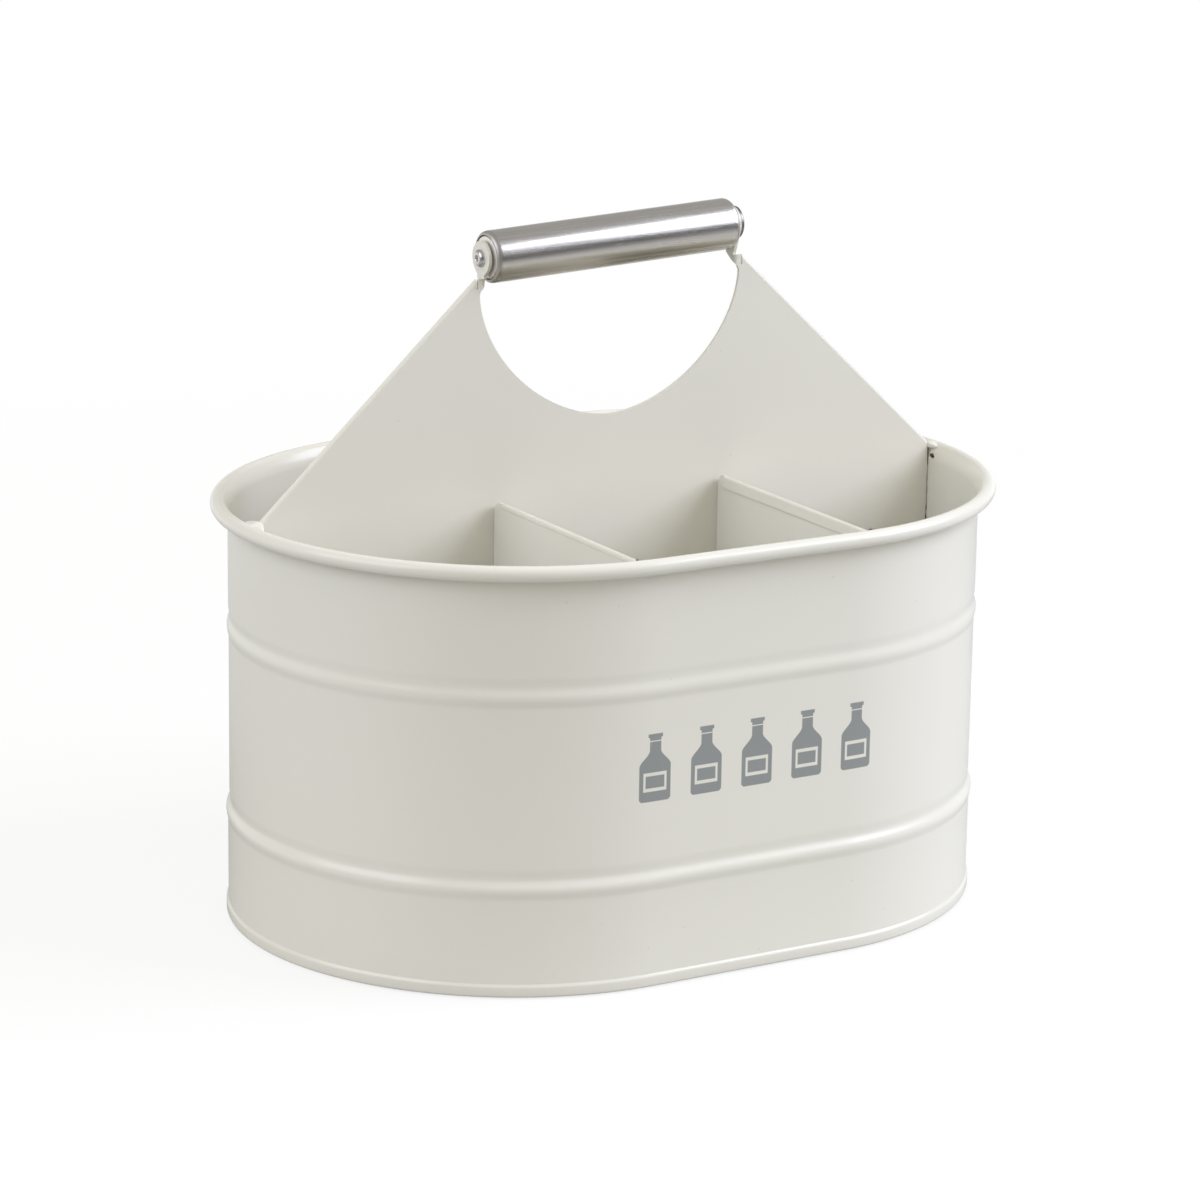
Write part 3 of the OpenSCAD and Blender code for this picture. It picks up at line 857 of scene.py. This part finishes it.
right_cross = make_cross_sheet()
right_cross.name = "cross_sheet_right"
left_cross = mirrored(right_cross, "cross_sheet_left")
dress(right_cross, "caddy", "cream_enamel", cream, "cross_divider_right")
dress(smooth(left_cross, FLAT_SHEET), "caddy", "cream_enamel", cream, "cross_divider_left")

dress(tip(make_tube()), "grip", "brushed_tube", brushed, "handle_tube")
plug = make_plug()
left_plug = smooth(mirrored(plug, "domed_plug_left"))
dress(tip(left_plug), "grip", "polished_plug", polished, "end_plug_left")
dress(tip(plug), "grip", "polished_plug", polished, "end_plug_right")
dress(make_rod(), "caddy", "rivet_steel", riveted, "handle_rod")
dress(make_washer(), "caddy", "washer_steel", dull, "rod_washer")

for node, material in (("base_pan", cream), ("rim_wire", drawn)):
    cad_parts[node].data.materials.clear()
    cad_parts[node].data.materials.append(material)


# The studio, in metres

def make_floor():
    """A round floor. The camera and the reflections of what lies behind the part see it white. The light
    that it throws back comes from a greyer one, so that little of it reaches the part from below."""
    radius, drop = 9, -0.0004
    stop_editing()
    bpy.ops.mesh.primitive_circle_add(vertices=96, radius=radius, fill_type="NGON", location=(0, 0, drop))
    floor = bpy.context.object
    floor.name = "studio_floor"
    bpy.ops.object.transform_apply()
    material, p = new_material("studio_floor")
    place = p.place()
    away = p.add("ShaderNodeVectorMath", {"operation": "LENGTH"}, {0: place}, out="Value")
    seen = p.add("ShaderNodeLightPath", out="Is Camera Ray")
    reflected = seen.out("Is Glossy Ray").high(seen.out("Is Transmission Ray"))
    behind = p.axes(place, "Y").above(0.45, 0.5)
    cloth = p.mix(away.above(0.6, 0.6), grey(0.5), grey(0.16))
    sheet = p.add("ShaderNodeBsdfDiffuse", values={"Color": p.mix(seen, cloth, grey(0.9))})
    white = p.add("ShaderNodeEmission", values={"Color": grey(1), "Strength": 1.0})
    glow = seen * (0.78 + away.above(0.55, 0.5) * 0.22) + reflected * behind * 0.95
    shader = p.add("ShaderNodeMixShader", values={0: glow, 1: sheet, 2: white})
    p.add("ShaderNodeOutputMaterial", values={"Surface": shader})
    floor.data.materials.append(material)


def make_world():
    """White to the camera, a soft warm fill light, and in reflections a dim room with a bright far wall."""
    fill, fill_hue = 0.70, tint(1, 0.965, 0.845)
    room_low, room_high, wall, wall_band = 0.06, 0.34, 0.42, 0.5
    world = bpy.data.worlds.new("studio")
    bpy.context.scene.world = world
    world.use_nodes = True
    p = Paint(world.node_tree)
    axes = p.axes(p.add("ShaderNodeTexCoord", out="Generated"), "X")
    seen = p.add("ShaderNodeLightPath", out="Is Camera Ray")
    reflected = seen.out("Is Glossy Ray").high(seen.out("Is Transmission Ray"))
    back, height = axes.out("Y"), axes.out("Z")
    room = room_low + height.above(0.30, 0.5) * room_high
    room = room + back.above(0.25, 0.6) * (wall + (1.0 - abs(height).above(0.14, 0.2)) * wall_band - room)
    strength = seen + (1.0 - seen) * (reflected * room + (1.0 - reflected) * fill)
    hue = p.mix(seen.high(reflected), fill_hue, grey(1))
    sky = p.add("ShaderNodeBackground", values={"Color": hue, "Strength": strength})
    p.add("ShaderNodeOutputWorld", values={"Surface": sky})


def softbox(name, azimuth, elevation, distance, size, power, colour):
    """A rectangular lamp that faces the tub. Azimuth 0 is in front of it, and 90 at its right."""
    aim = Vector((0, 0, 0.1))
    a, e = math.radians(azimuth), math.radians(elevation)
    way = Vector((math.sin(a) * math.cos(e), -math.cos(a) * math.cos(e), math.sin(e)))
    data = bpy.data.lights.new(name, "AREA")
    data.shape, data.size, data.size_y = "RECTANGLE", size[0], size[1]
    data.energy = power
    data.color = colour
    lamp = bpy.data.objects.new(name, data)
    bpy.context.scene.collection.objects.link(lamp)
    lamp.location = aim + way * distance
    lamp.rotation_euler = way.to_track_quat("Z", "Y").to_euler()


def make_camera():
    """The camera at the photograph's place, with its distances in millimetres from a spot inside the tub."""
    turn, tilt, roll = math.radians(-30.934), math.radians(14.837), math.radians(0.892)
    spot, away, aside, above = Vector((-1.2, 0, 57.1)), 1420.8, 0.76, 35.1
    data = bpy.data.cameras.new("camera")
    data.lens, data.sensor_width = 136.9, 36.0
    data.clip_start, data.clip_end = 0.05, 40.0
    camera = bpy.data.objects.new("camera", data)
    bpy.context.scene.collection.objects.link(camera)
    back = Vector((math.sin(turn) * math.cos(tilt), -math.cos(turn) * math.cos(tilt), math.sin(tilt)))
    right = Vector((math.cos(turn), math.sin(turn), 0))
    up = back.cross(right)
    place = spot + back * away - right * aside + up * above
    across = right * math.cos(roll) + up * math.sin(roll)
    upwards = up * math.cos(roll) - right * math.sin(roll)
    matrix = Matrix((across, upwards, back)).transposed().to_4x4()
    matrix.translation = place * MM
    camera.matrix_world = matrix
    bpy.context.scene.camera = camera


make_floor()
make_world()
softbox("softbox_right", azimuth=58, elevation=33, distance=1.3, size=(0.9, 0.8), power=14.6,
        colour=(0.80, 0.84, 1.0))
softbox("softbox_left", azimuth=-90, elevation=32, distance=1.4, size=(1.1, 0.9), power=7.8,
        colour=(0.82, 0.86, 1.0))
make_camera()
bpy.context.scene.view_settings.view_transform = "Standard"
